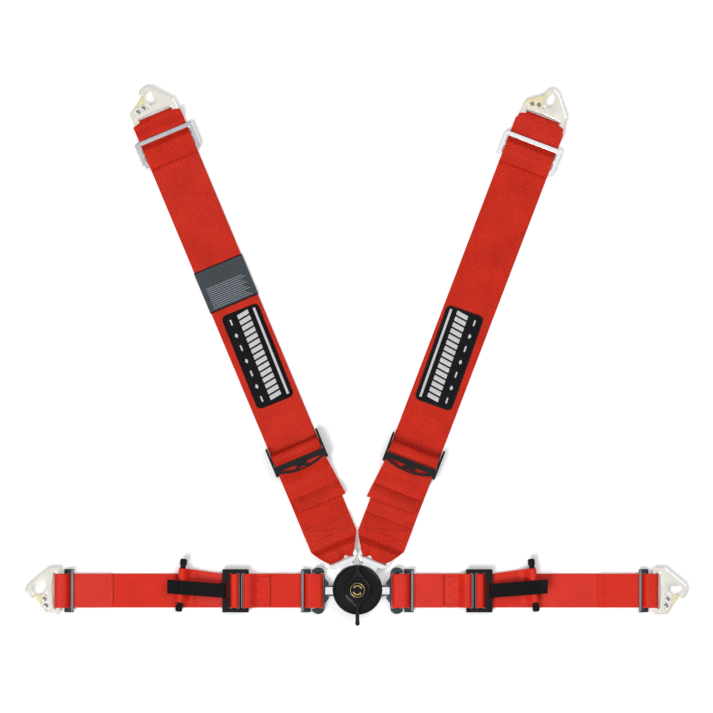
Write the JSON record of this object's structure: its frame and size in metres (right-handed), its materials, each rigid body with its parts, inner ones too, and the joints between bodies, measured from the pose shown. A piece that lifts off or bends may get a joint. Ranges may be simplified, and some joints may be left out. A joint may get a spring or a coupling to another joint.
{
  "type": "racing harness",
  "caption": "Racing harness with wide shoulder belts and narrower lap belts that meet in a rotary cam-lock buckle and end in snap hooks, with adjusters along the belts.",
  "frame": {"origin": "centre of the buckle's flat back face, on the surface that the harness lies on", "axes": "+X to the right across the lap belts, +Y up along the shoulder belts, +Z out of the buckle's face"},
  "size_m": [0.9933, 0.8074, 0.0282],
  "materials": {
    "shoulder_webbing": "woven",
    "lap_webbing": "woven, slightly glossy",
    "black_fabric": "woven",
    "satin_label": "satin",
    "black_adjuster": "gloss",
    "black_plastic": "satin",
    "black_steel": "satin",
    "gunmetal_steel": "satin",
    "bright_steel": "polished",
    "plated_steel": "zinc plated",
    "spring_steel": "brushed"
  },
  "bodies": {
    "buckle": {"back_plate": "plated_steel", "tongue_guide": "plated_steel", "buckle_cover": "black_plastic", "latch_spring": "spring_steel", "return_spring": "spring_steel"},
    "release": {"handle": "black_steel", "centre_cap": "black_plastic", "spindle": "black_steel", "release_cam": "black_steel"},
    "shoulder_tongue_left": {"shoulder_tongue_left": "bright_steel"},
    "lower_belt_left": {"lower_strap_left": "shoulder_webbing"},
    "upper_belt_left": {"upper_strap_left": "shoulder_webbing", "shoulder_adjuster_left": "black_adjuster", "patch_left": "black_fabric", "shoulder_slide_left": "bright_steel", "label": "satin_label"},
    "shoulder_lock_left": {"shoulder_lock_bar_left": "black_steel"},
    "shoulder_hook_left": {"shoulder_left_hook": "plated_steel", "shoulder_left_rivet_1": "plated_steel", "shoulder_left_rivet_2": "plated_steel"},
    "shoulder_keeper_left": {"shoulder_left_keeper": "plated_steel"},
    "shoulder_tongue_right": {"shoulder_tongue_right": "bright_steel"},
    "lower_belt_right": {"lower_strap_right": "shoulder_webbing"},
    "upper_belt_right": {"upper_strap_right": "shoulder_webbing", "shoulder_adjuster_right": "black_adjuster", "patch_right": "black_fabric", "shoulder_slide_right": "bright_steel"},
    "shoulder_lock_right": {"shoulder_lock_bar_right": "black_steel"},
    "shoulder_hook_right": {"shoulder_right_hook": "plated_steel", "shoulder_right_rivet_1": "plated_steel", "shoulder_right_rivet_2": "plated_steel"},
    "shoulder_keeper_right": {"shoulder_right_keeper": "plated_steel"},
    "lap_tongue_left": {"lap_tongue_left": "gunmetal_steel"},
    "inner_belt_left": {"inner_strap_left": "lap_webbing", "inner_slide_left": "bright_steel"},
    "outer_belt_left": {"outer_strap_left": "lap_webbing", "lap_adjuster_left": "black_steel", "pull_bar_left": "black_plastic", "outer_slide_left": "bright_steel"},
    "lap_lock_left": {"lap_lock_bar_left": "black_steel"},
    "release_tab_left": {"release_tab_left": "black_fabric"},
    "lap_hook_left": {"lap_left_hook": "plated_steel", "lap_left_rivet_1": "plated_steel", "lap_left_rivet_2": "plated_steel"},
    "lap_keeper_left": {"lap_left_keeper": "plated_steel"},
    "lap_tongue_right": {"lap_tongue_right": "gunmetal_steel"},
    "inner_belt_right": {"inner_strap_right": "lap_webbing", "inner_slide_right": "bright_steel"},
    "outer_belt_right": {"outer_strap_right": "lap_webbing", "lap_adjuster_right": "black_steel", "pull_bar_right": "black_plastic", "outer_slide_right": "bright_steel"},
    "lap_lock_right": {"lap_lock_bar_right": "black_steel"},
    "release_tab_right": {"release_tab_right": "black_fabric"},
    "lap_hook_right": {"lap_right_hook": "plated_steel", "lap_right_rivet_1": "plated_steel", "lap_right_rivet_2": "plated_steel"},
    "lap_keeper_right": {"lap_right_keeper": "plated_steel"}
  },
  "joints": [
    {"name": "handle_turn", "type": "hinge", "parent": "buckle", "child": "release", "pos_m": [0, 0, 0.02], "axis": [0, 0, 1], "range_deg": [-60, 60], "stiffness_Nm_per_rad": 0.3, "deforming": ["return_spring", "latch_spring"]},
    {"name": "shoulder_tongue_slide_left", "type": "slide", "parent": "buckle", "child": "shoulder_tongue_left", "axis": [-0.4756, 0.8796, 0], "range_m": [0, 0.045]},
    {"name": "lower_belt_hinge_left", "type": "hinge", "parent": "shoulder_tongue_left", "child": "lower_belt_left", "pos_m": [-0.02567, 0.04866, 0.0057], "axis": [0.9225, 0.3859, 0], "range_deg": [-20, 20]},
    {"name": "shoulder_adjuster_hinge_left", "type": "hinge", "parent": "lower_belt_left", "child": "upper_belt_left", "pos_m": [-0.08324, 0.18631, 0.0057], "axis": [0.9225, 0.3859, 0], "range_deg": [-35, 0]},
    {"name": "shoulder_lock_slide_left", "type": "slide", "parent": "upper_belt_left", "child": "shoulder_lock_left", "axis": [-0.3859, 0.9225, 0], "range_m": [0, 0.0012]},
    {"name": "shoulder_hook_hinge_left", "type": "hinge", "parent": "upper_belt_left", "child": "shoulder_hook_left", "pos_m": [-0.30128, 0.70754, 0.0057], "axis": [0.9225, 0.3859, 0], "range_deg": [-45, 45]},
    {"name": "shoulder_keeper_flex_left", "type": "hinge", "parent": "shoulder_hook_left", "child": "shoulder_keeper_left", "pos_m": [-0.32526, 0.72055, 0.0034], "axis": [-0.81, -0.5865, 0], "range_deg": [0, 12], "stiffness_Nm_per_rad": 0.3, "deforming": ["shoulder_left_keeper"]},
    {"name": "shoulder_tongue_slide_right", "type": "slide", "parent": "buckle", "child": "shoulder_tongue_right", "axis": [0.4756, 0.8796, 0], "range_m": [0, 0.045]},
    {"name": "lower_belt_hinge_right", "type": "hinge", "parent": "shoulder_tongue_right", "child": "lower_belt_right", "pos_m": [0.02628, 0.04863, 0.0057], "axis": [0.9342, -0.3567, 0], "range_deg": [-20, 20]},
    {"name": "shoulder_adjuster_hinge_right", "type": "hinge", "parent": "lower_belt_right", "child": "upper_belt_right", "pos_m": [0.07708, 0.18166, 0.0057], "axis": [0.9342, -0.3567, 0], "range_deg": [-35, 0]},
    {"name": "shoulder_lock_slide_right", "type": "slide", "parent": "upper_belt_right", "child": "shoulder_lock_right", "axis": [0.3567, 0.9342, 0], "range_m": [0, 0.0012]},
    {"name": "shoulder_hook_hinge_right", "type": "hinge", "parent": "upper_belt_right", "child": "shoulder_hook_right", "pos_m": [0.27624, 0.70322, 0.0057], "axis": [0.9342, -0.3567, 0], "range_deg": [-45, 45]},
    {"name": "shoulder_keeper_flex_right", "type": "hinge", "parent": "shoulder_hook_right", "child": "shoulder_keeper_right", "pos_m": [0.26785, 0.72918, 0.008], "axis": [0.991, -0.1338, 0], "range_deg": [0, 12], "stiffness_Nm_per_rad": 0.3, "deforming": ["shoulder_right_keeper"]},
    {"name": "lap_tongue_slide_left", "type": "slide", "parent": "buckle", "child": "lap_tongue_left", "axis": [-1, 0, 0], "range_m": [0, 0.045]},
    {"name": "inner_belt_hinge_left", "type": "hinge", "parent": "lap_tongue_left", "child": "inner_belt_left", "pos_m": [-0.0593, -0.002, 0.0057], "axis": [0, 1, 0], "range_deg": [-35, 35]},
    {"name": "lap_adjuster_hinge_left", "type": "hinge", "parent": "inner_belt_left", "child": "outer_belt_left", "pos_m": [-0.1657, -0.002, 0.0057], "axis": [0, 1, 0], "range_deg": [-30, 30]},
    {"name": "lap_lock_slide_left", "type": "slide", "parent": "outer_belt_left", "child": "lap_lock_left", "axis": [1, 0, 0], "range_m": [0, 0.0012]},
    {"name": "release_tab_lift_left", "type": "hinge", "parent": "outer_belt_left", "child": "release_tab_left", "pos_m": [-0.2007, -0.002, 0.0084], "axis": [0, 1, 0], "range_deg": [0, 70]},
    {"name": "lap_hook_hinge_left", "type": "hinge", "parent": "outer_belt_left", "child": "lap_hook_left", "pos_m": [-0.4487, -0.002, 0.0057], "axis": [0, 1, 0], "range_deg": [-45, 45]},
    {"name": "lap_keeper_flex_left", "type": "hinge", "parent": "lap_hook_left", "child": "lap_keeper_left", "pos_m": [-0.46995, -0.0191, 0.0034], "axis": [0.2285, -0.9735, 0], "range_deg": [0, 12], "stiffness_Nm_per_rad": 0.3, "deforming": ["lap_left_keeper"]},
    {"name": "lap_tongue_slide_right", "type": "slide", "parent": "buckle", "child": "lap_tongue_right", "axis": [1, 0, 0], "range_m": [0, 0.045]},
    {"name": "inner_belt_hinge_right", "type": "hinge", "parent": "lap_tongue_right", "child": "inner_belt_right", "pos_m": [0.0593, -0.002, 0.0057], "axis": [0, -1, 0], "range_deg": [-35, 35]},
    {"name": "lap_adjuster_hinge_right", "type": "hinge", "parent": "inner_belt_right", "child": "outer_belt_right", "pos_m": [0.1657, -0.002, 0.0057], "axis": [0, -1, 0], "range_deg": [-30, 30]},
    {"name": "lap_lock_slide_right", "type": "slide", "parent": "outer_belt_right", "child": "lap_lock_right", "axis": [-1, 0, 0], "range_m": [0, 0.0012]},
    {"name": "release_tab_lift_right", "type": "hinge", "parent": "outer_belt_right", "child": "release_tab_right", "pos_m": [0.2007, -0.002, 0.0084], "axis": [0, -1, 0], "range_deg": [0, 70]},
    {"name": "lap_hook_hinge_right", "type": "hinge", "parent": "outer_belt_right", "child": "lap_hook_right", "pos_m": [0.4454, -0.002, 0.0057], "axis": [0, -1, 0], "range_deg": [-45, 45]},
    {"name": "lap_keeper_flex_right", "type": "hinge", "parent": "lap_hook_right", "child": "lap_keeper_right", "pos_m": [0.46665, -0.0191, 0.0034], "axis": [0.2285, 0.9735, 0], "range_deg": [0, 12], "stiffness_Nm_per_rad": 0.3, "deforming": ["lap_right_keeper"]}
  ]
}
